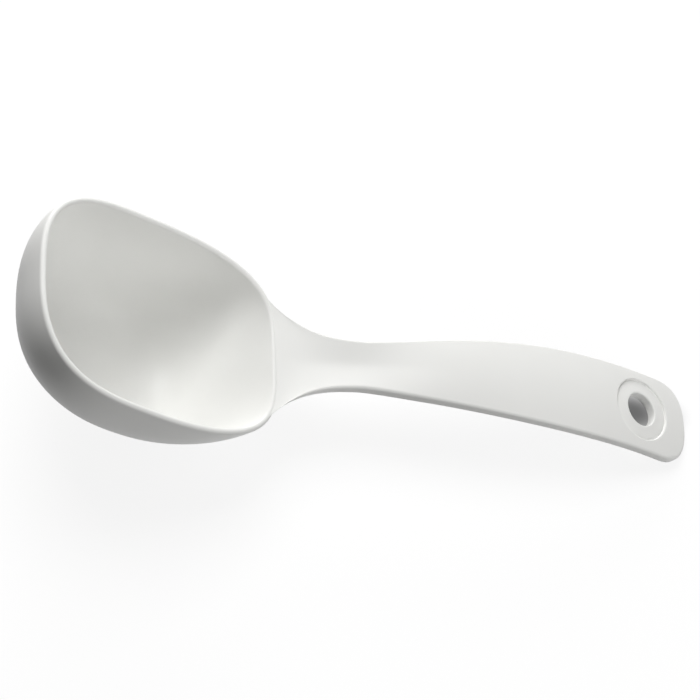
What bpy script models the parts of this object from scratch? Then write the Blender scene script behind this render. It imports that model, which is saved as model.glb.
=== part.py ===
"""Short soup ladle, one plastic moulding, made as the four regions it is moulded in.

The shape is worked out in the ladle's own axes: the rim lies in the plane z = 0, x runs
from the tip to the end of the handle, and x = 0 is where the bowl is widest. The whole
ladle is then laid down on its heel and the end of its handle, as it lies on a table.
"""
import math

import bmesh
import bpy
from mathutils import Matrix, Vector

MM = 0.001

# Bowl, measured over the outside
BOWL_HALF_WIDTH = 31.85 * MM
TIP_REACH = 39.2 * MM
ROOT_REACH = 46.4 * MM
BOWL_DEPTH = 39.2 * MM
BOWL_WALL = 2.0 * MM
RIM_ROUNDING = 0.8 * MM
TIP_LIFT = 1.5 * MM
ROOT_LIFT = 1.4 * MM
LOWEST_PLACE_X = 17.0 * MM

# Exponents of the rim's outline, 2 for an ellipse and more for squarer corners
TIP_SQUARENESS_X = 3.0
TIP_SQUARENESS_Y = 2.7
ROOT_SQUARENESS_X = 2.6
ROOT_SQUARENESS_Y = 3.8
LOW_SQUARENESS = 2.15
SQUARENESS_FADE = 4.5

# Exponents of the wall's section, from a cone near 1 to a box far above 2
TIP_FULLNESS = 2.35
SIDE_FULLNESS = 1.95
ROOT_FULLNESS = 2.2
LOW_FULLNESS = 2.4

# Lean of the wall under the rim at the handle
ROOT_LEAN = math.radians(12.0)

# Handle
HANDLE_THICKNESS = 3.4 * MM
HANDLE_ROUNDING = 1.0 * MM
HANDLE_LENGTH = 103.4 * MM
NECK_LENGTH = 20.5 * MM
STRAIGHT_LENGTH = 16.9 * MM
SWELL_LENGTH = 75.2 * MM
FLARE_LENGTH = 14.6 * MM
FLARE_LEAD = 3.2 * MM
END_ROUNDING_LENGTH = 10.85 * MM
RISE_ANGLE = math.radians(30.6)
RISE_LEAD = 3.1 * MM
RISE_SOFTNESS = 1.6 * MM
BEND_RADIUS = 152.0 * MM
ROOT_HALF_WIDTH = 25.5 * MM
WAIST_HALF_WIDTH = 7.9 * MM
GRIP_HALF_WIDTH = 13.3 * MM
END_SQUARENESS = 2.85
NECK_DISH = 1.6 * MM
DISH_LEAD = 5.0 * MM
DISH_LENGTH = 36.0 * MM
VALLEY_SOFTNESS = 0.2
GRIP_CROWN = 1.1 * MM
CROWN_LEAD = 4.0 * MM
CROWN_LENGTH = 26.0 * MM
RIDGE_HEIGHT = 0.3 * MM
RIDGE_SHARE = 0.45

# Hanging hole and the recess about it
HOLE_RADIUS = 5.3 * MM
RECESS_RADIUS = 9.9 * MM
RECESS_DEPTH = 0.8 * MM
HOLE_EDGE_DEPTH = 0.45 * MM
HOLE_SETBACK = 18.6 * MM
END_MARGIN = 4.0 * MM

# Flat under the bowl where it lies on a table, and the gap at each parting
HEEL_FLAT_DEPTH = 0.4 * MM
PARTING_GAP = 0.3 * MM

# Fineness of the meshes
BOWL_SEGMENTS = 64
BOWL_RINGS = 14
ROUNDING_STEPS = 3
ACROSS_STEPS = 16
ROOT_STEPS = 12
GRIP_STEPS = 14
END_STEPS = 18
HOLE_SEGMENTS = 40

# Places along x that follow from the sizes
WAIST_X = ROOT_REACH + NECK_LENGTH
BEND_X = WAIST_X + STRAIGHT_LENGTH
HANDLE_END_X = WAIST_X + HANDLE_LENGTH
CAP_X = HANDLE_END_X - END_ROUNDING_LENGTH
HOLE_X = HANDLE_END_X - HOLE_SETBACK
PARTING_X = HOLE_X - RECESS_RADIUS - END_MARGIN
RISE_X = ROOT_REACH - RISE_LEAD
RISE_SLOPE = math.tan(RISE_ANGLE)


def clamp(value, low, high):
    return max(low, min(high, value))


def mix(start, end, share):
    return start + (end - start) * share


def ease(share):
    """A smooth step from 0 to 1, level at both ends."""
    share = clamp(share, 0.0, 1.0)
    return share * share * (3.0 - 2.0 * share)


def signed_power(value, exponent):
    return math.copysign(abs(value) ** exponent, value)


def rim_point(azimuth, squareness_share=1.0):
    """The rim's outline in plan. Azimuth 0 faces the handle."""
    along = math.cos(azimuth)
    across = math.sin(azimuth)
    reach, square_x, square_y = ROOT_REACH, ROOT_SQUARENESS_X, ROOT_SQUARENESS_Y
    if along < 0.0:
        reach, square_x, square_y = TIP_REACH, TIP_SQUARENESS_X, TIP_SQUARENESS_Y
    square_x = mix(LOW_SQUARENESS, square_x, squareness_share)
    square_y = mix(LOW_SQUARENESS, square_y, squareness_share)
    x = reach * signed_power(along, 2.0 / square_x)
    y = BOWL_HALF_WIDTH * signed_power(across, 2.0 / square_y)
    return x, y


def rim_height(x):
    """The rim is lowest where it is widest, and lifts a little towards the tip and the root."""
    if x < 0.0:
        return TIP_LIFT * (x / TIP_REACH) ** 2
    return ROOT_LIFT * (x / ROOT_REACH) ** 2


def wall_lean(along):
    """How far the wall leans in for each length down, from its azimuth's cosine: most
    behind the handle, and none at the sides and the tip."""
    return math.tan(ROOT_LEAN) * max(along, 0.0) ** 2


def bowl_point(azimuth, polar):
    """The outer wall: polar 0 is its lowest place and a quarter turn is the rim."""
    along = math.cos(azimuth)
    end_fullness = ROOT_FULLNESS if along > 0.0 else TIP_FULLNESS
    fullness = mix(SIDE_FULLNESS, end_fullness, along ** 2)
    fullness = mix(LOW_FULLNESS, fullness, math.sin(polar) ** 2)
    spread = math.sin(polar) ** (2.0 / fullness)
    drop = max(math.cos(polar), 0.0) ** (2.0 / fullness)
    x, y = rim_point(azimuth, math.sin(polar) ** SQUARENESS_FADE)
    x = x * spread + LOWEST_PLACE_X * (1.0 - spread ** 2)
    z = rim_height(x) * spread - BOWL_DEPTH * drop
    x -= wall_lean(along) * BOWL_DEPTH * drop * spread
    return Vector((x, y * spread, z))


def ridge_x(y, gap=0.0):
    """Where the rim's outline, or one a gap outside it, lies at a place across the root."""
    share = (abs(y) / (BOWL_HALF_WIDTH + gap)) ** ROOT_SQUARENESS_Y
    return (ROOT_REACH + gap) * (1.0 - share) ** (1.0 / ROOT_SQUARENESS_X)


ROOT_X = ridge_x(ROOT_HALF_WIDTH)


def rise_height(x):
    """A straight rise that starts at the rim's height, softened at its foot."""
    softened = RISE_SOFTNESS * math.log1p(math.exp((x - RISE_X) / RISE_SOFTNESS))
    return rim_height(ROOT_X) + RISE_SLOPE * softened


def edge_height(x):
    """Height of the handle's upper edges: the rise, then an arc that bends over."""
    if x < BEND_X:
        return rise_height(x)
    centre_x = BEND_X + BEND_RADIUS * math.sin(RISE_ANGLE)
    centre_z = rise_height(BEND_X) - BEND_RADIUS * math.cos(RISE_ANGLE)
    return centre_z + math.sqrt(BEND_RADIUS ** 2 - (x - centre_x) ** 2)


def edge_slope(x):
    """Slope of the handle to the rim's plane."""
    step = 0.05 * MM
    return (edge_height(x + step) - edge_height(x - step)) / (2.0 * step)


def half_width(x):
    """The flare at the root is a bell curve, and the grip swells beyond the waist."""
    reach = (x - ROOT_X + FLARE_LEAD) ** 2 - FLARE_LEAD ** 2
    flare = math.exp(-reach / FLARE_LENGTH ** 2)
    share = clamp((x - WAIST_X) / SWELL_LENGTH, 0.0, 1.0)
    swell = (1.0 - (1.0 - share) ** 2.6) ** 1.45
    return (WAIST_HALF_WIDTH + (ROOT_HALF_WIDTH - WAIST_HALF_WIDTH) * flare
            + (GRIP_HALF_WIDTH - WAIST_HALF_WIDTH) * swell)


def valley(across):
    """A rounded V that is 1 in the middle and 0 at the edges."""
    top = math.hypot(1.0, VALLEY_SOFTNESS)
    return (top - math.hypot(across, VALLEY_SOFTNESS)) / (top - VALLEY_SOFTNESS)


def face_height(x, across):
    """Height of the upper face above its edges: a valley at the neck, a crown on the grip."""
    dish = NECK_DISH * (1.0 - ease((x - WAIST_X + DISH_LEAD) / DISH_LENGTH))
    crown = GRIP_CROWN * ease((x - WAIST_X + CROWN_LEAD) / CROWN_LENGTH)
    return crown * (1.0 - across ** 2) - dish * valley(across)


def handle_point(x, y, height, depth):
    """A point below the upper face. Thickness is square to the slope, but the sides stand
    upright to the rim's plane."""
    below = depth * math.hypot(1.0, edge_slope(x))
    return Vector((x, y, edge_height(x) + height - below))


def root_point(along, across, inset, depth):
    """Handle root: sections bend from the rim's outline to a straight one at the waist,
    and start a ridge's height below the rim. The first ones lean with the bowl's wall."""
    station_x = mix(ROOT_X, WAIST_X, along)
    start_y = across * (ROOT_HALF_WIDTH - inset)
    start_x = ridge_x(start_y, PARTING_GAP)
    outline = (abs(start_y) / BOWL_HALF_WIDTH) ** ROOT_SQUARENESS_Y
    lean = wall_lean(math.sqrt(1.0 - outline)) * depth
    x = station_x + (start_x - lean - ROOT_X) * (1.0 - along) ** 2
    y = across * (half_width(station_x) - inset)
    foot = rim_height(start_x) - RIDGE_HEIGHT * (1.0 - across ** 2) - edge_height(start_x)
    height = mix(foot, face_height(station_x, across), ease(along / RIDGE_SHARE))
    return handle_point(x, y, height, depth)


def grip_point(x, across, inset, depth):
    """Grip: straight sections."""
    y = across * (half_width(x) - inset)
    return handle_point(x, y, face_height(x, across), depth)


def end_point(along, across, inset, depth):
    """Hanging end: straight to the cap, whose outline is part of a squared ellipse."""
    if along < 0.5:
        x = mix(PARTING_X + PARTING_GAP, CAP_X, 2.0 * along)
        return grip_point(x, across, inset, depth)
    turn = (2.0 * along - 1.0) * math.pi / 2.0
    exponent = 2.0 / END_SQUARENESS
    x = CAP_X + (END_ROUNDING_LENGTH - inset) * math.sin(turn) ** exponent
    y = across * (half_width(x) - inset) * max(math.cos(turn), 0.0) ** exponent
    flat = half_width(x) - HANDLE_ROUNDING
    return handle_point(x, y, face_height(x, clamp(y / flat, -1.0, 1.0)), depth)


def bar_section():
    """Places round a bar's section as (across, inset, depth), with rounded edges."""
    side = []
    for step in range(ROUNDING_STEPS + 1):
        turn = math.pi / 2.0 * step / ROUNDING_STEPS
        side.append((HANDLE_ROUNDING * (1.0 - math.sin(turn)),
                     HANDLE_ROUNDING * (1.0 - math.cos(turn))))
    underside = [(inset, HANDLE_THICKNESS - depth) for inset, depth in reversed(side)]
    rounded = HANDLE_ROUNDING
    inner = [-math.cos(math.pi * step / ACROSS_STEPS) for step in range(1, ACROSS_STEPS)]
    places = [(-1.0, inset, depth) for inset, depth in reversed(side + underside)]
    places += [(across, rounded, 0.0) for across in inner]
    places += [(1.0, inset, depth) for inset, depth in side + underside]
    places += [(-across, rounded, HANDLE_THICKNESS) for across in inner]
    return places


def plastic(name):
    """Off-white satin plastic."""
    material = bpy.data.materials.new(name + "_plastic")
    material.use_nodes = True
    shader = material.node_tree.nodes["Principled BSDF"]
    shader.inputs["Base Color"].default_value = (0.85, 0.85, 0.83, 1.0)
    shader.inputs["Roughness"].default_value = 0.38
    shader.inputs["Metallic"].default_value = 0.0
    return material


def new_object(name, bm, collection, parent):
    """Turns a bmesh into a smooth object hung on the ladle's own axes."""
    bmesh.ops.recalc_face_normals(bm, faces=bm.faces)
    mesh = bpy.data.meshes.new(name)
    bm.to_mesh(mesh)
    bm.free()
    mesh.shade_smooth()
    mesh.set_sharp_from_angle(angle=math.radians(40.0))
    obj = bpy.data.objects.new(name, mesh)
    obj.parent = parent
    collection.objects.link(obj)
    return obj


def make_bowl(collection, parent):
    """The lower half of a sphere, shaped to the outer wall, then given its thickness."""
    bm = bmesh.new()
    bmesh.ops.create_uvsphere(bm, u_segments=BOWL_SEGMENTS, v_segments=2 * BOWL_RINGS, radius=1.0)
    upper = [vert for vert in bm.verts if vert.co.z > 0.01]
    bmesh.ops.delete(bm, geom=upper, context="VERTS")
    for vert in bm.verts:
        polar = math.acos(clamp(-vert.co.z, -1.0, 1.0))
        vert.co = bowl_point(math.atan2(vert.co.y, vert.co.x), polar)
    bowl = new_object("bowl", bm, collection, parent)
    bowl.data.materials.append(plastic("bowl"))
    if bowl.data.polygons[0].normal.dot(bowl.data.polygons[0].center) < 0.0:
        bowl.data.flip_normals()
    wall = bowl.modifiers.new("wall", "SOLIDIFY")
    wall.thickness = BOWL_WALL
    wall.offset = -1.0
    wall.use_even_offset = True
    rim = bowl.modifiers.new("rim", "BEVEL")
    rim.width = RIM_ROUNDING
    rim.segments = 2
    rim.limit_method = "ANGLE"
    rim.angle_limit = math.radians(50.0)
    return bowl


def close_end(bm, ring):
    """Closes a section with faces from its upper side to its lower side."""
    if abs(ring[0].co.y) < 0.01 * MM:
        return
    profile = 2 * (ROUNDING_STEPS + 1)
    first = ROUNDING_STEPS + 1
    for index in range(first, first + len(ring) // 2 - 1):
        below = profile - 1 - index
        bm.faces.new((ring[index], ring[index + 1], ring[below - 1], ring[below]))


def make_bar(name, point, stations, collection, parent):
    """A bar lofted through its sections, closed at each open end."""
    bm = bmesh.new()
    rings = []
    for station in stations:
        ring = [bm.verts.new(point(station, *place)) for place in bar_section()]
        rings.append(ring)
    for ring, following in zip(rings, rings[1:]):
        for index in range(len(ring)):
            before = index - 1
            bm.faces.new((ring[before], ring[index], following[index], following[before]))
    close_end(bm, rings[0])
    close_end(bm, rings[-1])
    bmesh.ops.remove_doubles(bm, verts=bm.verts, dist=0.01 * MM)
    bmesh.ops.dissolve_degenerate(bm, edges=bm.edges, dist=0.01 * MM)
    bar = new_object(name, bm, collection, parent)
    bar.data.materials.append(plastic(name))
    return bar


def steps(start, end, count):
    return [mix(start, end, step / count) for step in range(count + 1)]


def end_face_height(along, across):
    """Height of the crowned and bent upper face, measured square to the handle at the hole."""
    crown = GRIP_CROWN * (1.0 - (across / (GRIP_HALF_WIDTH - HANDLE_ROUNDING)) ** 2)
    return crown - along ** 2 / (2.0 * BEND_RADIUS)


def make_hole_cutter(collection, parent):
    """The hole and its recess in one, turned about an axis square to the handle. The
    floor of the recess follows the handle's upper face, and rises towards the hole."""
    above = GRIP_CROWN + HANDLE_THICKNESS
    profile = [(0.0, above), (RECESS_RADIUS, above), (RECESS_RADIUS, -RECESS_DEPTH),
               (HOLE_RADIUS, -HOLE_EDGE_DEPTH), (HOLE_RADIUS, -above), (0.0, -above)]
    bm = bmesh.new()
    start = Matrix.Rotation(math.pi / HOLE_SEGMENTS, 3, "Z")
    verts = [bm.verts.new(start @ Vector((radius, 0.0, height))) for radius, height in profile]
    edges = [bm.edges.new(pair) for pair in zip(verts, verts[1:])]
    bmesh.ops.spin(bm, geom=verts + edges, axis=(0.0, 0.0, 1.0), cent=(0.0, 0.0, 0.0),
                   angle=2.0 * math.pi, steps=HOLE_SEGMENTS, use_merge=True)
    bmesh.ops.remove_doubles(bm, verts=bm.verts, dist=0.01 * MM)
    for vert in bm.verts:
        if abs(vert.co.z) < 1.01 * RECESS_DEPTH:
            vert.co.z += end_face_height(vert.co.x, vert.co.y)
    cutter = new_object("hole_cutter", bm, collection, parent)
    angle = math.atan(edge_slope(HOLE_X))
    middle = Vector((HOLE_X, 0.0, edge_height(HOLE_X)))
    cutter.matrix_local = Matrix.Translation(middle) @ Matrix.Rotation(-angle, 4, "Y")
    cutter.display_type = "WIRE"
    cutter.hide_render = True
    return cutter


def make_heel_cutter(collection):
    """A block under the table's surface, which cuts the flat on the heel."""
    bm = bmesh.new()
    bmesh.ops.create_cube(bm, size=BOWL_DEPTH)
    cutter = new_object("heel_cutter", bm, collection, None)
    cutter.scale = (6.0, 3.0, 1.0)
    cutter.location.z = -BOWL_DEPTH / 2.0
    cutter.display_type = "WIRE"
    cutter.hide_render = True
    return cutter


def cut(obj, cutter):
    boolean = obj.modifiers.new(cutter.name, "BOOLEAN")
    boolean.operation = "DIFFERENCE"
    boolean.solver = "EXACT"
    boolean.object = cutter


def lying_tilt(bowl, end):
    """The tilt at which the heel is lower than the handle's end by the flat's depth."""
    def lowest(obj, tilt):
        return min(vert.co.z * math.cos(tilt) - vert.co.x * math.sin(tilt)
                   for vert in obj.data.vertices)

    low, high = 0.0, math.radians(60.0)
    for _ in range(40):
        tilt = (low + high) / 2.0
        if lowest(bowl, tilt) + HEEL_FLAT_DEPTH < lowest(end, tilt):
            low = tilt
        else:
            high = tilt
    return low, lowest(end, low)


def lay_down(axes, bowl, end):
    """Sets the ladle on the table, with the origin under the middle of its box."""
    tilt, lowest = lying_tilt(bowl, end)
    reaches = [vert.co.x * math.cos(tilt) + vert.co.z * math.sin(tilt)
               for obj in (bowl, end) for vert in obj.data.vertices]
    axes.rotation_euler = (0.0, tilt, 0.0)
    axes.location = (-(min(reaches) + max(reaches)) / 2.0, 0.0, -lowest)


def main():
    for obj in list(bpy.data.objects):
        bpy.data.objects.remove(obj)
    ladle = bpy.data.collections.new("soup_ladle")
    cutters = bpy.data.collections.new("cutters")
    for collection in (ladle, cutters):
        bpy.context.scene.collection.children.link(collection)
    axes = bpy.data.objects.new("ladle_axes", None)
    ladle.objects.link(axes)

    bowl = make_bowl(ladle, axes)
    make_bar("handle_root", root_point, steps(0.0, 1.0, ROOT_STEPS), ladle, axes)
    grip_stations = steps(WAIST_X + PARTING_GAP, PARTING_X, GRIP_STEPS)
    make_bar("handle_grip", grip_point, grip_stations, ladle, axes)
    end = make_bar("hanging_end", end_point, steps(0.0, 1.0, END_STEPS), ladle, axes)
    cut(end, make_hole_cutter(cutters, axes))
    lay_down(axes, bowl, end)
    cut(bowl, make_heel_cutter(cutters))


main()
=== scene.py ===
"""Looks for a short soup ladle of off-white satin plastic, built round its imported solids.

Each part of the moulding gets a finely divided skin, worked out from the same sizes and
formulas as its solid. The skins run on into each other, as the plastic does. They are
worked out in the ladle's own axes, where the rim lies in the plane z = 0, x runs from the
bowl's tip to the end of the handle, and x = 0 is where the bowl is widest. The ladle is
then laid down on its heel and the end of its handle.
"""

import bmesh
import bpy
import numpy as np
from bpy.props import FloatProperty, FloatVectorProperty, PointerProperty
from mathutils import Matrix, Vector


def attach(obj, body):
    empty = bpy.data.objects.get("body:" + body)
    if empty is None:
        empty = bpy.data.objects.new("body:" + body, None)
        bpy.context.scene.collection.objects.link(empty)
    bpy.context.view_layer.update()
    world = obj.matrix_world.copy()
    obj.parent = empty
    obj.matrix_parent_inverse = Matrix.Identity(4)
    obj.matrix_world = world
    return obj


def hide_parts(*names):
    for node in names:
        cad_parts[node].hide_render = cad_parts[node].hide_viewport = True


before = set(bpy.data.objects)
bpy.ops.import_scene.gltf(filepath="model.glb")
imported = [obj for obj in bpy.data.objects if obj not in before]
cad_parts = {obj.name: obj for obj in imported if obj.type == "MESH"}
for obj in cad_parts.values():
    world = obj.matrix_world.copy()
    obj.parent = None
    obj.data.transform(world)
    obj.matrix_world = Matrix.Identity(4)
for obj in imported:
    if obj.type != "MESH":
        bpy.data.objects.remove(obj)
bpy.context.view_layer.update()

bl_info = {
    "name": "Soup Ladle",
    "version": (1, 0, 0),
    "blender": (4, 5, 0),
    "location": "3D View > Sidebar > Ladle",
    "description": "Skins, plastic finish, floor, lights and camera for a soup ladle",
    "category": "Add Mesh",
}

MM = 0.001

# Rows and columns of the skins
BOWL_COLUMNS = 288
WALL_ROWS = 96
RIM_ROWS = 17
EDGE_ROWS = 9
ACROSS_ROWS = 60
ROOT_ROWS = 90
GRIP_ROWS = 150
SIDE_COLUMNS = 60
CAP_COLUMNS = 120
FACE_ROWS = 20
HOLE_ROWS = 6
FLOOR_ROWS = 12
MERGE_DISTANCE = 0.001 * MM
SHARP_ANGLE = np.radians(40.0)

# Steps round the rim's outline, and the small steps over which slopes are taken
OUTLINE_STEPS = 40000
ANGLE_STEP = 1e-4
SLOPE_STEP = 0.05 * MM

# Exponents of the swell from the waist to the grip
SWELL_START = 1.45
SWELL_END = 2.6

# Optics of the plastic, detail of its noises, and roughness of the floor
PLASTIC_IOR = 1.49
TONE_DETAIL = 3.0
GRAIN_DETAIL = 2.0
FLOOR_ROUGHNESS = 0.9

# The soft lights: sizes in metres, and each one's azimuth and elevation in degrees
SOFTBOX_WIDTH = 0.6
SOFTBOX_DISTANCE = 1.0
SOFTBOX_HEIGHT = 0.03
KEY_DIRECTION = (120.0, 62.0)
BACK_DIRECTION = (90.0, 10.0)
SIDE_DIRECTION = (315.0, 10.0)


def length(name, description, millimetres):
    """A property for a length, kept in metres."""
    return FloatProperty(name=name, description=description, default=millimetres * MM,
                         unit="LENGTH", precision=5)


def turn(name, description, degrees):
    """A property for an angle, kept in radians."""
    return FloatProperty(name=name, description=description, default=np.radians(degrees),
                         subtype="ANGLE", precision=4)


def number(name, description, default):
    """A property for a share, an exponent or a strength."""
    return FloatProperty(name=name, description=description, default=default,
                         subtype="FACTOR", precision=4, soft_min=0.0, soft_max=5.0)


def colour(name, description, default):
    """A property for a colour."""
    return FloatVectorProperty(name=name, description=description, default=default,
                               subtype="COLOR", size=3, min=0.0, max=1.0)


class LADLE_PG_sizes(bpy.types.PropertyGroup):
    """Sizes of the ladle, in its own axes."""

    half_width: length("Bowl half width", "Half of the bowl's width over the outside", 31.85)
    tip_reach: length("Tip reach", "From the widest place to the bowl's tip", 39.2)
    root_reach: length("Root reach", "From the widest place to the rim at the handle", 46.4)
    bowl_depth: length("Bowl depth", "From the rim to the lowest place outside", 39.2)
    wall: length("Bowl wall", "Thickness of the bowl's wall", 2.0)
    tip_lift: length("Tip lift", "How far the rim lifts at the tip", 1.5)
    root_lift: length("Root lift", "How far the rim lifts at the handle", 1.4)
    lowest_x: length("Lowest place", "Place of the bowl's lowest point along x", 17.0)
    tip_squareness_x: number("Tip squareness, x", "Exponent of the rim's outline", 3.0)
    tip_squareness_y: number("Tip squareness, y", "Exponent of the rim's outline", 2.7)
    root_squareness_x: number("Root squareness, x", "Exponent of the rim's outline", 2.6)
    root_squareness_y: number("Root squareness, y", "Exponent of the rim's outline", 3.8)
    low_squareness: number("Low squareness", "Exponent of the outline low down", 2.15)
    squareness_fade: number("Squareness fade", "How fast the outline's squareness fades", 4.5)
    tip_fullness: number("Tip fullness", "Exponent of the wall's section at the tip", 2.35)
    side_fullness: number("Side fullness", "Exponent of the wall's section at the sides", 1.95)
    root_fullness: number("Root fullness", "Exponent of the wall's section at the root", 2.2)
    low_fullness: number("Low fullness", "Exponent of the wall's section low down", 2.4)
    root_lean: turn("Root lean", "Lean of the wall under the rim at the handle", 12.0)

    thickness: length("Handle thickness", "Thickness of the handle", 3.4)
    rounding: length("Edge rounding", "Rounding of the handle's edges", 1.0)
    handle: length("Handle length", "From the waist to the end of the handle", 103.4)
    neck: length("Neck length", "From the rim to the waist", 20.5)
    straight: length("Straight length", "From the waist to the start of the bend", 16.9)
    swell: length("Swell length", "From the waist to where the grip is widest", 75.2)
    flare: length("Flare length", "Length over which the root narrows", 14.6)
    flare_lead: length("Flare lead", "How far the flare starts before the rim", 3.2)
    end_rounding: length("End rounding", "Length of the rounded end", 10.85)
    rise_angle: turn("Rise angle", "Slope of the straight part of the handle", 30.6)
    rise_lead: length("Rise lead", "How far before the rim the rise starts", 3.1)
    rise_softness: length("Rise softness", "Length over which the rise starts", 1.6)
    bend: length("Bend radius", "Radius of the handle's bend", 152.0)
    root_half_width: length("Root half width", "Half of the root's width at the rim", 25.5)
    waist_half_width: length("Waist half width", "Half of the width at the waist", 7.9)
    grip_half_width: length("Grip half width", "Half of the grip's width", 13.3)
    end_squareness: number("End squareness", "Exponent of the end's outline", 2.85)
    neck_dish: length("Neck dish", "Depth of the valley at the neck", 1.6)
    dish_lead: length("Dish lead", "How far before the waist the valley starts to fade", 5.0)
    dish_length: length("Dish length", "Length over which the valley fades", 36.0)
    valley_softness: number("Valley softness", "How round the foot of the valley is", 0.2)
    grip_crown: length("Grip crown", "Height of the crown along the grip", 1.1)
    crown_lead: length("Crown lead", "How far before the waist the crown starts", 4.0)
    crown_length: length("Crown length", "Length over which the crown grows", 26.0)
    ridge_height: length("Ridge height", "From the rim's top down to the root's first face", 0.25)
    buried: length("Buried length", "How far the root's skin starts inside the wall", 1.5)
    foot_share: number("Foot share", "Share of the root over which its foot fades", 0.45)

    hole_radius: length("Hole radius", "Radius of the hanging hole", 5.3)
    recess_radius: length("Recess radius", "Radius of the recess about the hole", 9.9)
    recess_depth: length("Recess depth", "Depth of the recess at its foot", 0.8)
    hole_edge_depth: length("Hole edge depth", "Depth of the recess at the hole", 0.45)
    hole_setback: length("Hole setback", "From the hole's middle to the handle's end", 18.6)
    end_margin: length("End margin", "From the recess to the parting with the grip", 4.0)
    hole_rounding: length("Hole rounding", "Rounding of the hole's edges", 0.4)
    foot_rounding: length("Foot rounding", "Rounding at the recess's foot", 0.3)
    recess_rounding: length("Recess rounding", "Rounding of the recess's edge", 0.3)

    lying_tilt: FloatProperty(name="Lying tilt", description="Tilt of the ladle as it lies",
                              default=0.51927, subtype="ANGLE", precision=5)
    lying_x: length("Lying place, x", "Place of the ladle's axes along the table", -66.3556)
    lying_z: length("Lying place, z", "Height of the ladle's axes over the table", 46.4281)


class LADLE_PG_finish(bpy.types.PropertyGroup):
    """Colour and surface of the plastic."""

    plastic: colour("Plastic", "Colour of the plastic", (0.85, 0.85, 0.83))
    shade: colour("Shade", "Colour of the plastic where it is a little deeper",
                  (0.825, 0.826, 0.803))
    roughness: number("Roughness", "Mean roughness of the satin surface", 0.38)
    roughness_spread: number("Roughness spread", "How much the roughness varies", 0.06)
    sheen: number("Sheen", "Strength of the reflections, 0.5 for smooth plastic", 0.25)
    tone_size: length("Tone size", "Size of the soft variations of colour", 14.0)
    grain_size: length("Grain size", "Size of the grain of the surface", 0.45)
    grain_height: length("Grain height", "Height of the grain of the surface", 0.004)


class LADLE_PG_stage(bpy.types.PropertyGroup):
    """Floor, lights and camera."""

    floor: colour("Floor", "Colour of the floor", (0.15, 0.15, 0.15))
    floor_lift: number("Floor lift", "Light that is seen added to the floor", 0.87)
    # Painted shadow, partly real: in a fixed oval under the hanging end less white is added to
    # the floor, so the floor's real shade there stays dark and shows in the hole.
    painted_shadow_lift: number("Shade lift", "Light seen added in the shade under the end", 0.12)
    painted_shadow_place: FloatVectorProperty(name="Shade place", description="Middle of the deep shade",
                                     default=(0.0855, 0.0045, 0.0), subtype="TRANSLATION",
                                     unit="LENGTH", precision=5)
    painted_shadow_reach: length("Shade reach", "Half width of the deepest part of the shade", 2.5)
    painted_shadow_fade: length("Shade fade", "Width over which the shade fades", 9.5)
    painted_shadow_stretch: number("Shade stretch", "How much longer than wide the shade is", 2.0)
    far_start: length("Far start", "Where the floor begins to turn fully white", 250.0)
    far_end: length("Far end", "Where the floor is fully white", 600.0)
    floor_size: length("Floor size", "Length of each side of the floor", 6000.0)
    ambient: number("Ambient light", "Strength of the light from all round", 0.05)
    key_power: FloatProperty(name="Key light", description="Power of the soft light above",
                             default=8.2, unit="POWER")
    back_power: FloatProperty(name="Back light", description="Power of the low light behind",
                              default=7.3, unit="POWER")
    side_power: FloatProperty(name="Side light", description="Power of the low light at the side",
                              default=5.5, unit="POWER")
    camera_place: FloatVectorProperty(name="Camera place", description="Where the camera is",
                                      default=(-0.190863, -0.432043, 0.815039),
                                      subtype="TRANSLATION", unit="LENGTH", precision=5)
    camera_turn: FloatVectorProperty(name="Camera turn", description="How the camera is turned",
                                     default=(0.500815, -0.215473, -0.031466),
                                     subtype="EULER", precision=5)
    camera_lens: FloatProperty(name="Camera lens", description="Focal length of the camera",
                               default=162.949, unit="CAMERA", precision=3)


def mix(start, end, share):
    """The start for a share of 0, the end for 1, and a straight line between."""
    return start + (end - start) * share


def ease(share):
    """A smooth step from 0 to 1: 3 s squared less 2 s cubed."""
    share = np.clip(share, 0.0, 1.0)
    return share * share * (3.0 - 2.0 * share)


def signed_power(value, exponent):
    """The size raised to the exponent, with the sign kept."""
    return np.sign(value) * np.abs(value) ** exponent


def unit(vectors):
    """Each vector divided by its length."""
    size = np.linalg.norm(vectors, axis=-1, keepdims=True)
    return vectors / np.maximum(size, 1e-30)


def rim_outline(sizes, azimuth, share):
    """Squared ellipse: x is the reach times |cos| to the power 2/nx, y the half width
    times |sin| to the power 2/ny. Azimuth 0 faces the handle. The exponents nx and ny go
    from the low squareness to the rim's as the share goes from 0 to 1."""
    along, across = np.cos(azimuth), np.sin(azimuth)
    front = along >= 0.0
    reach = np.where(front, sizes.root_reach, sizes.tip_reach)
    square_x = np.where(front, sizes.root_squareness_x, sizes.tip_squareness_x)
    square_y = np.where(front, sizes.root_squareness_y, sizes.tip_squareness_y)
    square_x = mix(sizes.low_squareness, square_x, share)
    square_y = mix(sizes.low_squareness, square_y, share)
    x = reach * signed_power(along, 2.0 / square_x)
    y = sizes.half_width * signed_power(across, 2.0 / square_y)
    return x, y


def rim_height(sizes, x):
    """A parabola on each side of x = 0, up to the lift at the tip and at the root."""
    tip = sizes.tip_lift / sizes.tip_reach ** 2
    root = sizes.root_lift / sizes.root_reach ** 2
    return np.where(x < 0.0, tip, root) * x ** 2


def wall_fullness(sizes, azimuth, polar):
    """Exponent of the wall's section, mixed by the azimuth's squared cosine and the
    polar angle's squared sine."""
    along = np.cos(azimuth)
    end = np.where(along > 0.0, sizes.root_fullness, sizes.tip_fullness)
    return mix(sizes.low_fullness, mix(sizes.side_fullness, end, along ** 2),
               np.sin(polar) ** 2)


def wall_lean(sizes, along):
    """How far the wall leans in for each length down, from the azimuth's cosine: the
    tangent of the lean times the cosine squared towards the handle, and none elsewhere."""
    return np.tan(sizes.root_lean) * np.maximum(along, 0.0) ** 2


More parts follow.
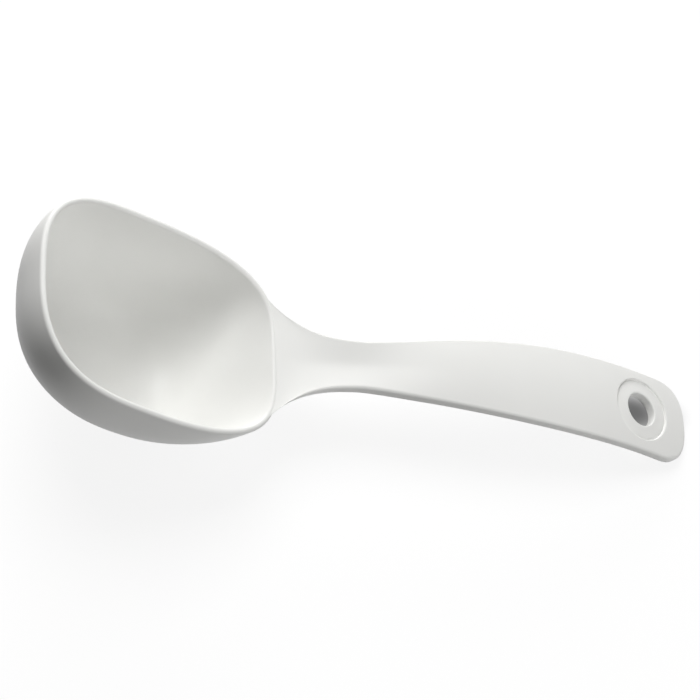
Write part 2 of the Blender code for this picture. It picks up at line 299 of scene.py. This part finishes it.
def wall_point(sizes, azimuth, polar):
    """Outside of the wall. With n the fullness, the outline is spread by sin to the power
    2/n, and drops below the rim by the depth times cos to the power 2/n. Towards the handle
    it also leans in, by the lean times the drop and the spread. Polar 0 is the lowest place
    and a quarter turn is the rim."""
    exponent = 2.0 / wall_fullness(sizes, azimuth, polar)
    spread = np.sin(polar) ** exponent
    drop = np.maximum(np.cos(polar), 0.0) ** exponent
    x, y = rim_outline(sizes, azimuth, np.sin(polar) ** sizes.squareness_fade)
    x = x * spread + sizes.lowest_x * (1.0 - spread ** 2)
    z = rim_height(sizes, x) * spread - sizes.bowl_depth * drop
    x = x - wall_lean(sizes, np.cos(azimuth)) * sizes.bowl_depth * drop * spread
    return np.stack([x, y * spread, z], -1)


def even_azimuths(sizes, count):
    """Azimuths whose points lie at even steps along the rim."""
    fine = np.linspace(0.0, 2.0 * np.pi, OUTLINE_STEPS + 1)
    points = np.stack(rim_outline(sizes, fine, 1.0), -1)
    travel = np.concatenate([[0.0], np.cumsum(np.linalg.norm(np.diff(points, axis=0), axis=1))])
    return np.interp(np.arange(count) * travel[-1] / count, travel, fine)


def bowl_surface(sizes):
    """Rows from the lowest place up the outside, half round over the rim and down the
    inside. The inside is the outside moved in by the wall along its normal, and the rim is
    a half circle of half the wall about the wall's middle."""
    radius = sizes.wall / 2.0
    azimuth = even_azimuths(sizes, BOWL_COLUMNS)[None, :]
    fullness = wall_fullness(sizes, azimuth, np.pi / 2.0)
    last = np.arccos((radius / sizes.bowl_depth) ** (fullness / 2.0))
    polar = np.linspace(0.0, 1.0, WALL_ROWS)[:, None] * last
    outside = wall_point(sizes, azimuth, polar)
    after = wall_point(sizes, azimuth + ANGLE_STEP, polar)
    before = wall_point(sizes, azimuth - ANGLE_STEP, polar)
    along = after - before
    lower = wall_point(sizes, azimuth, np.maximum(polar - ANGLE_STEP, 0.0))
    up = wall_point(sizes, azimuth, polar + ANGLE_STEP) - lower
    normal = unit(np.cross(along, up))
    normal[0] = (0.0, 0.0, -1.0)
    inside = outside - sizes.wall * normal
    over = np.linspace(0.0, np.pi, RIM_ROWS)[1:-1, None, None]
    outward = np.cos(over) * normal[-1] + np.sin(over) * unit(up[-1])
    rim = outside[-1] - radius * normal[-1] + radius * outward
    return np.concatenate([outside, rim, inside[::-1]])


def ridge_x(sizes, y, gap):
    """Where a line a gap outside the rim's outline lies at a place across the root: the
    reach times (1 less the share of the half width to the power ny) to the power 1/nx."""
    share = (np.abs(y) / (sizes.half_width + gap)) ** sizes.root_squareness_y
    return (sizes.root_reach + gap) * (1.0 - share) ** (1.0 / sizes.root_squareness_x)


def root_x(sizes):
    """Where the corners of the handle's root meet the rim."""
    return ridge_x(sizes, sizes.root_half_width, 0.0)


def waist_x(sizes):
    """Where the root ends and the grip begins."""
    return sizes.root_reach + sizes.neck


def end_x(sizes):
    """The far end of the handle."""
    return waist_x(sizes) + sizes.handle


def hole_x(sizes):
    """The middle of the hanging hole."""
    return end_x(sizes) - sizes.hole_setback


def parting_x(sizes):
    """Where the grip ends and the hanging end begins."""
    return hole_x(sizes) - sizes.recess_radius - sizes.end_margin


def edge_height(sizes, x):
    """Height of the handle's upper edges: a straight rise with a softened foot, then an
    arc that bends over. The rise is its slope times s ln(1 + exp(x / s)), with s its
    softness and x the way past its start."""
    soft = sizes.rise_softness
    slope = np.tan(sizes.rise_angle)
    rise_x = sizes.root_reach - sizes.rise_lead
    bend_x = waist_x(sizes) + sizes.straight
    base = rim_height(sizes, root_x(sizes))

    def rise(place):
        return base + slope * soft * np.log1p(np.exp((place - rise_x) / soft))

    centre_x = bend_x + sizes.bend * np.sin(sizes.rise_angle)
    centre_z = rise(bend_x) - sizes.bend * np.cos(sizes.rise_angle)
    arc = centre_z + np.sqrt(sizes.bend ** 2 - (x - centre_x) ** 2)
    return np.where(x < bend_x, rise(np.minimum(x, bend_x)), arc)


def edge_slope(sizes, x):
    """Slope of the handle to the rim's plane."""
    rise = edge_height(sizes, x + SLOPE_STEP) - edge_height(sizes, x - SLOPE_STEP)
    return rise / (2.0 * SLOPE_STEP)


def half_width(sizes, x):
    """The waist's half width, with a flare and a swell added. The flare is a bell curve,
    exp(-reach / flare squared), where the reach is the way past the lead, squared, less the
    lead squared. The swell is (1 less (1 less the share) to one power) to another."""
    lead = sizes.flare_lead
    reach = (x - root_x(sizes) + lead) ** 2 - lead ** 2
    flare = np.exp(-reach / sizes.flare ** 2)
    share = np.clip((x - waist_x(sizes)) / sizes.swell, 0.0, 1.0)
    swell = (1.0 - (1.0 - share) ** SWELL_END) ** SWELL_START
    waist = sizes.waist_half_width
    return (waist + (sizes.root_half_width - waist) * flare
            + (sizes.grip_half_width - waist) * swell)


def valley(sizes, across):
    """A rounded V, from the hyperbola hypot(across, softness): 1 in the middle and 0 at
    the edges."""
    soft = sizes.valley_softness
    top = np.hypot(1.0, soft)
    return (top - np.hypot(across, soft)) / (top - soft)


def face_height(sizes, x, across):
    """Height of the upper face over its edges: a valley at the neck that fades along the
    handle, and a parabola across for the crown, which grows along it."""
    beyond = x - waist_x(sizes)
    dish = sizes.neck_dish * (1.0 - ease((beyond + sizes.dish_lead) / sizes.dish_length))
    crown = sizes.grip_crown * ease((beyond + sizes.crown_lead) / sizes.crown_length)
    return crown * (1.0 - across ** 2) - dish * valley(sizes, across)


def handle_point(sizes, x, y, height, depth):
    """A point below the upper face. The thickness is square to the slope, and the sides
    stand upright to the rim's plane."""
    below = depth * np.hypot(1.0, edge_slope(sizes, x))
    z = edge_height(sizes, x) + height - below
    return np.stack(np.broadcast_arrays(x, y, z), -1)


def root_point(sizes, along, across, inset, depth):
    """Sections that bend from the rim's outline to a straight one at the waist. The first
    ones lie inside the bowl's wall, and the face comes out of the rim just beyond its top,
    which is half the wall times the lean's sine above the outline's height."""
    start = root_x(sizes)
    station = mix(start, waist_x(sizes), along)
    start_y = across * (sizes.root_half_width - inset)
    outline = (np.abs(start_y) / sizes.half_width) ** sizes.root_squareness_y
    lean = wall_lean(sizes, np.sqrt(1.0 - outline))
    rim = ridge_x(sizes, start_y, -sizes.buried)
    x = station + (rim - lean * depth - start) * (1.0 - along) ** 2
    y = across * (half_width(sizes, station) - inset)
    rim_top = rim_height(sizes, rim) + sizes.wall / 2.0 * lean / np.hypot(1.0, lean)
    foot = rim_top - sizes.ridge_height - edge_height(sizes, rim)
    height = mix(foot, face_height(sizes, station, across), ease(along / sizes.foot_share))
    return handle_point(sizes, x, y, height, depth)


def grip_point(sizes, x, across, inset, depth):
    """Straight sections along the handle."""
    y = across * (half_width(sizes, x) - inset)
    return handle_point(sizes, x, y, face_height(sizes, x, across), depth)


def side_profile(sizes):
    """Inset and depth down a side of the handle: a quarter circle, a flat and a quarter
    circle."""
    around = np.linspace(0.0, np.pi / 2.0, EDGE_ROWS)
    inset = sizes.rounding * (1.0 - np.sin(around))
    depth = sizes.rounding * (1.0 - np.cos(around))
    return (np.concatenate([inset, inset[::-1]]),
            np.concatenate([depth, sizes.thickness - depth[::-1]]))


def bar_surface(sizes, point, stations):
    """A section carried along the handle. The first and last rows are the end sections
    drawn in to their middle line, which closes the ends."""
    inset, depth = side_profile(sizes)
    inner = np.linspace(-1.0, 1.0, ACROSS_ROWS + 1)[1:-1]
    level = np.full(len(inner), sizes.rounding)
    top = np.zeros(len(inner))
    edge = np.ones(len(inset))
    across = np.concatenate([-edge, inner, edge, -inner])
    insets = np.concatenate([inset[::-1], level, inset, level])
    depths = np.concatenate([depth[::-1], top, depth, top + sizes.thickness])
    middle = np.full(len(depths), sizes.thickness / 2.0)
    rows = point(sizes, stations[:, None], across, insets, depths)
    first = point(sizes, stations[:1, None], across, insets, middle)
    last = point(sizes, stations[-1:, None], across, insets, middle)
    return np.concatenate([first, rows, last])


def end_outline(sizes, inset):
    """Plan of the end: along one side, round the cap and back along the other. The cap is
    part of a squared ellipse."""
    cap_x = end_x(sizes) - sizes.end_rounding
    side = np.linspace(parting_x(sizes), cap_x, SIDE_COLUMNS, endpoint=False)
    around = np.linspace(-np.pi / 2.0, np.pi / 2.0, CAP_COLUMNS + 1)
    exponent = 2.0 / sizes.end_squareness
    cap = cap_x + (sizes.end_rounding - inset) * np.cos(around) ** exponent
    swing = signed_power(np.sin(around), exponent)
    x = np.concatenate([side, cap, side[::-1]])
    share = np.concatenate([-np.ones(SIDE_COLUMNS), swing, np.ones(SIDE_COLUMNS)])
    return x, share * (half_width(sizes, x) - inset)


def end_point(sizes, x, y, depth):
    """The face's crown lies between the two edge roundings."""
    flat = half_width(sizes, x) - sizes.rounding
    return handle_point(sizes, x, y, face_height(sizes, x, np.clip(y / flat, -1.0, 1.0)), depth)


def quarter(radius, count):
    """Sine and cosine parts of a quarter circle, as rows."""
    around = np.linspace(0.0, np.pi / 2.0, count)[:, None]
    return radius * np.sin(around), radius * np.cos(around)


def end_surface(sizes):
    """Columns lie round the hole, one for each place on the outline. Each runs out over
    the face, down the side, in along the underside, up the hole, over the recess's floor
    and up its wall. Four of the columns stand at the parting's corners, so the flat that
    meets the grip is closed."""
    thickness = sizes.thickness
    inset, depth = side_profile(sizes)
    inset, depth = inset[:, None], depth[:, None]
    outline = [end_outline(sizes, value) for value in inset[:, 0]]
    side_x = np.stack([x for x, y in outline])
    side_y = np.stack([y for x, y in outline])
    across = np.linspace(1.0, -1.0, ACROSS_ROWS + 1)
    chord_y = across * side_y[0, -1]
    chord_x = np.full(len(chord_y), parting_x(sizes))
    rows = len(inset)
    rim_x = np.concatenate([side_x, np.tile(chord_x, (rows, 1))], 1)
    rim_y = np.concatenate([side_y, np.tile(chord_y, (rows, 1))], 1)

    centre = hole_x(sizes)
    foreshortening = 1.0 / np.hypot(1.0, edge_slope(sizes, centre))
    azimuth = np.arctan2(rim_y[0], (rim_x[0] - centre) / foreshortening)

    def ring(radius):
        """A circle round the hole as it looks square to the face."""
        return (centre + radius * np.cos(azimuth) * foreshortening, radius * np.sin(azimuth))

    def spoke(radius, share, level):
        """Points between a ring and the outline's upper edge, at one depth."""
        ring_x, ring_y = ring(radius)
        return end_point(sizes, mix(ring_x, rim_x[0], share), mix(ring_y, rim_y[0], share),
                         level)

    hole, recess = sizes.hole_radius, sizes.recess_radius
    soft, foot, lip = sizes.hole_rounding, sizes.foot_rounding, sizes.recess_rounding
    out = np.linspace(0.0, 1.0, FACE_ROWS)[:, None]
    sine, cosine = quarter(soft, HOLE_ROWS)
    bottom = end_point(sizes, *ring(hole + soft - sine), thickness - soft + cosine)
    edge = sizes.hole_edge_depth
    top = end_point(sizes, *ring(hole + soft - cosine), edge + soft - sine)
    share = np.linspace(0.0, 1.0, FLOOR_ROWS)[1:-1, None]
    floor_radius = mix(hole + soft, recess - foot, share)
    floor = end_point(sizes, *ring(floor_radius), mix(edge, sizes.recess_depth, share))
    sine, cosine = quarter(foot, HOLE_ROWS)
    fillet = end_point(sizes, *ring(recess - foot + sine), sizes.recess_depth - foot + cosine)
    sine, cosine = quarter(lip, HOLE_ROWS)
    brow = end_point(sizes, *ring(recess + lip - cosine), lip - sine)
    face = spoke(recess + lip, out[1:], 0.0)
    side = end_point(sizes, rim_x[1:], rim_y[1:], depth[1:])
    under = spoke(hole + soft, out[::-1][1:], thickness)
    return np.concatenate([bottom, top, floor, fillet, brow, face, side, under[:-1],
                           bottom[:1]])


def laid_down(sizes, points):
    """Turned by the lying tilt about y and moved onto the table, which flattens the heel."""
    cosine, sine = np.cos(sizes.lying_tilt), np.sin(sizes.lying_tilt)
    x, y, z = np.moveaxis(points, -1, 0)
    height = z * cosine - x * sine + sizes.lying_z
    return np.stack([x * cosine + z * sine + sizes.lying_x, y, np.maximum(height, 0.0)], -1)


def plastic(name, finish):
    """Satin plastic: soft variations of tone, and a fine grain in roughness and bump."""
    material = bpy.data.materials.new(name)
    material.use_nodes = True
    tree = material.node_tree
    shader = tree.nodes["Principled BSDF"]
    shader.inputs["Metallic"].default_value = 0.0
    shader.inputs["IOR"].default_value = PLASTIC_IOR
    shader.inputs["Specular IOR Level"].default_value = finish.sheen
    place = tree.nodes.new("ShaderNodeTexCoord")
    tone = tree.nodes.new("ShaderNodeTexNoise")
    tone.inputs["Scale"].default_value = 1.0 / finish.tone_size
    tone.inputs["Detail"].default_value = TONE_DETAIL
    grain = tree.nodes.new("ShaderNodeTexNoise")
    grain.inputs["Scale"].default_value = 1.0 / finish.grain_size
    grain.inputs["Detail"].default_value = GRAIN_DETAIL
    blend = tree.nodes.new("ShaderNodeMix")
    blend.data_type = "RGBA"
    blend.inputs["A"].default_value = (*finish.shade, 1.0)
    blend.inputs["B"].default_value = (*finish.plastic, 1.0)
    gloss = tree.nodes.new("ShaderNodeMapRange")
    gloss.inputs["To Min"].default_value = finish.roughness - finish.roughness_spread
    gloss.inputs["To Max"].default_value = finish.roughness + finish.roughness_spread
    bump = tree.nodes.new("ShaderNodeBump")
    bump.inputs["Distance"].default_value = finish.grain_height
    links = tree.links
    links.new(place.outputs["Object"], tone.inputs["Vector"])
    links.new(place.outputs["Object"], grain.inputs["Vector"])
    links.new(tone.outputs["Fac"], blend.inputs["Factor"])
    links.new(grain.outputs["Fac"], gloss.inputs["Value"])
    links.new(grain.outputs["Fac"], bump.inputs["Height"])
    links.new(blend.outputs["Result"], shader.inputs["Base Color"])
    links.new(gloss.outputs["Result"], shader.inputs["Roughness"])
    links.new(bump.outputs["Normal"], shader.inputs["Normal"])
    return material


def add_skin(context, node, points):
    """Makes a grid of points, closed across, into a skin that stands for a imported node.
    Rows that meet, and rows drawn in to a line or a point, are merged. The faces are turned
    over where their volume about the origin comes out negative."""
    sizes, finish = context.scene.ladle_sizes, context.scene.ladle_finish
    points = laid_down(sizes, points)
    rows, columns = points.shape[:2]
    index = np.arange(rows * columns).reshape(rows, columns)
    beside = np.roll(index, -1, axis=1)
    faces = np.stack([index[:-1], beside[:-1], beside[1:], index[1:]], -1).reshape(-1, 4)
    vertices = points.reshape(-1, 3)
    corners = vertices[faces]
    normals = np.cross(corners[:, 2] - corners[:, 0], corners[:, 3] - corners[:, 1])
    if np.sum(normals * corners.mean(1)) < 0.0:
        faces = faces[:, ::-1]
    mesh = bpy.data.meshes.new(node + "_skin")
    mesh.from_pydata(vertices, [], faces)
    bm = bmesh.new()
    bm.from_mesh(mesh)
    bmesh.ops.remove_doubles(bm, verts=bm.verts, dist=MERGE_DISTANCE)
    bm.to_mesh(mesh)
    bm.free()
    mesh.shade_smooth()
    mesh.set_sharp_from_angle(angle=SHARP_ANGLE)
    mesh.materials.append(plastic(node + "_satin", finish))
    skin = bpy.data.objects.new(node + "_skin", mesh)
    context.scene.collection.objects.link(skin)
    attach(skin, "root")
    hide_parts(node)


class LADLE_OT_bowl(bpy.types.Operator):
    """Add the bowl with its rounded rim"""

    bl_idname = "ladle.add_bowl"
    bl_label = "Bowl"

    def execute(self, context):
        add_skin(context, "bowl", bowl_surface(context.scene.ladle_sizes))
        return {"FINISHED"}


class LADLE_OT_handle_root(bpy.types.Operator):
    """Add the flared and dished root of the handle"""

    bl_idname = "ladle.add_handle_root"
    bl_label = "Handle root"

    def execute(self, context):
        stations = np.linspace(0.0, 1.0, ROOT_ROWS)
        points = bar_surface(context.scene.ladle_sizes, root_point, stations)
        add_skin(context, "handle_root", points)
        return {"FINISHED"}


class LADLE_OT_handle_grip(bpy.types.Operator):
    """Add the grip, which widens and bends over"""

    bl_idname = "ladle.add_handle_grip"
    bl_label = "Handle grip"

    def execute(self, context):
        sizes = context.scene.ladle_sizes
        stations = np.linspace(waist_x(sizes), parting_x(sizes), GRIP_ROWS)
        add_skin(context, "handle_grip", bar_surface(sizes, grip_point, stations))
        return {"FINISHED"}


class LADLE_OT_hanging_end(bpy.types.Operator):
    """Add the rounded end with its recess and hanging hole"""

    bl_idname = "ladle.add_hanging_end"
    bl_label = "Hanging end"

    def execute(self, context):
        add_skin(context, "hanging_end", end_surface(context.scene.ladle_sizes))
        return {"FINISHED"}


def calculated(tree, operation, first, second):
    """The result of a Math node on two values."""
    node = tree.nodes.new("ShaderNodeMath")
    node.operation = operation
    tree.links.new(first, node.inputs[0])
    tree.links.new(second, node.inputs[1])
    return node.outputs["Value"]


def smooth_range(tree, value, start, end, low, high):
    """Goes smoothly from low to high as the value goes from start to end."""
    node = tree.nodes.new("ShaderNodeMapRange")
    node.interpolation_type = "SMOOTHSTEP"
    node.inputs["From Min"].default_value = start
    node.inputs["From Max"].default_value = end
    node.inputs["To Min"].default_value = low
    node.inputs["To Max"].default_value = high
    tree.links.new(value, node.inputs["Value"])
    return node.outputs["Result"]


def background_rays(tree):
    """1 for the rays that show the background as it looks: the camera's, and those that
    a glossy or a clear surface sends on."""
    path = tree.nodes.new("ShaderNodeLightPath")
    rays = path.outputs["Is Camera Ray"]
    for name in ("Is Glossy Ray", "Is Transmission Ray"):
        rays = calculated(tree, "MAXIMUM", rays, path.outputs[name])
    return rays


def floor_material(stage):
    """A dull floor that looks lifted towards white and keeps the ladle's shadow. In a fixed oval
    close under the hanging end the lift is small, so the dark there is partly the real shade and
    partly a painted shadow, and it shows in the hole; far from the ladle the lift is full."""
    material = bpy.data.materials.new("floor")
    material.use_nodes = True
    tree = material.node_tree
    shader = tree.nodes["Principled BSDF"]
    shader.inputs["Base Color"].default_value = (*stage.floor, 1.0)
    shader.inputs["Roughness"].default_value = FLOOR_ROUGHNESS
    shader.inputs["Specular IOR Level"].default_value = 0.0
    shader.inputs["Emission Color"].default_value = (1.0, 1.0, 1.0, 1.0)
    place = tree.nodes.new("ShaderNodeTexCoord")
    oval = tree.nodes.new("ShaderNodeMapping")
    oval.vector_type = "TEXTURE"
    oval.inputs["Location"].default_value = stage.painted_shadow_place
    oval.inputs["Scale"].default_value = (stage.painted_shadow_stretch, 1.0, 1.0)
    away = tree.nodes.new("ShaderNodeVectorMath")
    away.operation = "LENGTH"
    tree.links.new(place.outputs["Object"], oval.inputs["Vector"])
    tree.links.new(oval.outputs["Vector"], away.inputs[0])
    away = away.outputs["Value"]
    # Painted shadow: the white lift drops to the shade lift inside the stretched oval round the
    # shade place, which keeps a dark patch under the hanging end.
    near = smooth_range(tree, away, stage.painted_shadow_reach, stage.painted_shadow_reach + stage.painted_shadow_fade,
                        stage.painted_shadow_lift, stage.floor_lift)
    far = smooth_range(tree, away, stage.far_start, stage.far_end,
                       0.0, 1.0 - stage.floor_lift)
    lift = calculated(tree, "ADD", near, far)
    seen = calculated(tree, "MULTIPLY", background_rays(tree), lift)
    tree.links.new(seen, shader.inputs["Emission Strength"])
    return material


def add_floor(context, stage):
    """A square of floor at the table's height."""
    reach = stage.floor_size / 2.0
    corners = [(-reach, -reach, 0.0), (reach, -reach, 0.0), (reach, reach, 0.0),
               (-reach, reach, 0.0)]
    mesh = bpy.data.meshes.new("floor")
    mesh.from_pydata(corners, [], [(0, 1, 2, 3)])
    mesh.materials.append(floor_material(stage))
    floor = bpy.data.objects.new("floor", mesh)
    context.scene.collection.objects.link(floor)


def add_world(context, stage):
    """Even light from all round, which looks white where it is seen."""
    world = bpy.data.worlds.new("studio")
    world.use_nodes = True
    tree = world.node_tree
    background = tree.nodes["Background"]
    background.inputs["Color"].default_value = (1.0, 1.0, 1.0, 1.0)
    strength = tree.nodes.new("ShaderNodeMapRange")
    strength.inputs["To Min"].default_value = stage.ambient
    strength.inputs["To Max"].default_value = 1.0
    tree.links.new(background_rays(tree), strength.inputs["Value"])
    tree.links.new(strength.outputs["Result"], background.inputs["Strength"])
    context.scene.world = world


def add_softbox(context, name, direction, power):
    """A square soft light, a metre from the ladle's middle and turned towards it. The
    lamp itself isn't seen against the floor."""
    azimuth, elevation = np.radians(direction)
    level = np.cos(elevation)
    direction = Vector((level * np.cos(azimuth), level * np.sin(azimuth), np.sin(elevation)))
    light = bpy.data.lights.new(name, "AREA")
    light.shape = "SQUARE"
    light.size = SOFTBOX_WIDTH
    light.energy = power
    lamp = bpy.data.objects.new(name, light)
    lamp.location = direction * SOFTBOX_DISTANCE + Vector((0.0, 0.0, SOFTBOX_HEIGHT))
    lamp.rotation_euler = direction.to_track_quat("Z", "Y").to_euler()
    lamp.visible_camera = False
    context.scene.collection.objects.link(lamp)


def add_camera(context, stage):
    """The camera that sees the ladle from the near side, above and a little to the tip."""
    data = bpy.data.cameras.new("camera")
    data.lens = stage.camera_lens
    camera = bpy.data.objects.new("camera", data)
    camera.location = stage.camera_place
    camera.rotation_euler = stage.camera_turn
    context.scene.collection.objects.link(camera)
    context.scene.camera = camera


class LADLE_OT_stage(bpy.types.Operator):
    """Add the floor, the soft light and the camera"""

    bl_idname = "ladle.add_stage"
    bl_label = "Stage"

    def execute(self, context):
        stage = context.scene.ladle_stage
        add_floor(context, stage)
        add_world(context, stage)
        add_softbox(context, "key", KEY_DIRECTION, stage.key_power)
        add_softbox(context, "back", BACK_DIRECTION, stage.back_power)
        add_softbox(context, "side", SIDE_DIRECTION, stage.side_power)
        add_camera(context, stage)
        context.scene.view_settings.view_transform = "Standard"
        return {"FINISHED"}


class LADLE_PT_panel(bpy.types.Panel):
    """Buttons and sizes of the ladle"""

    bl_idname = "LADLE_PT_panel"
    bl_label = "Soup Ladle"
    bl_space_type = "VIEW_3D"
    bl_region_type = "UI"
    bl_category = "Ladle"

    def draw(self, context):
        layout = self.layout
        for operator in PIECES:
            layout.operator(operator.bl_idname)
        scene = context.scene
        for group in (scene.ladle_sizes, scene.ladle_finish, scene.ladle_stage):
            box = layout.box()
            for name in group.__annotations__:
                box.prop(group, name)


PIECES = (LADLE_OT_bowl, LADLE_OT_handle_root, LADLE_OT_handle_grip, LADLE_OT_hanging_end,
          LADLE_OT_stage)
CLASSES = (LADLE_PG_sizes, LADLE_PG_finish, LADLE_PG_stage, *PIECES, LADLE_PT_panel)


def register():
    """Registers the classes and hangs the properties on the scene."""
    for item in CLASSES:
        bpy.utils.register_class(item)
    bpy.types.Scene.ladle_sizes = PointerProperty(type=LADLE_PG_sizes)
    bpy.types.Scene.ladle_finish = PointerProperty(type=LADLE_PG_finish)
    bpy.types.Scene.ladle_stage = PointerProperty(type=LADLE_PG_stage)


def unregister():
    """Takes the properties and the classes away again."""
    del bpy.types.Scene.ladle_stage
    del bpy.types.Scene.ladle_finish
    del bpy.types.Scene.ladle_sizes
    for item in reversed(CLASSES):
        bpy.utils.unregister_class(item)


def main():
    """Adds each piece through its operator."""
    register()
    bpy.ops.ladle.add_bowl()
    bpy.ops.ladle.add_handle_root()
    bpy.ops.ladle.add_handle_grip()
    bpy.ops.ladle.add_hanging_end()
    bpy.ops.ladle.add_stage()


if __name__ == "__main__":
    main()
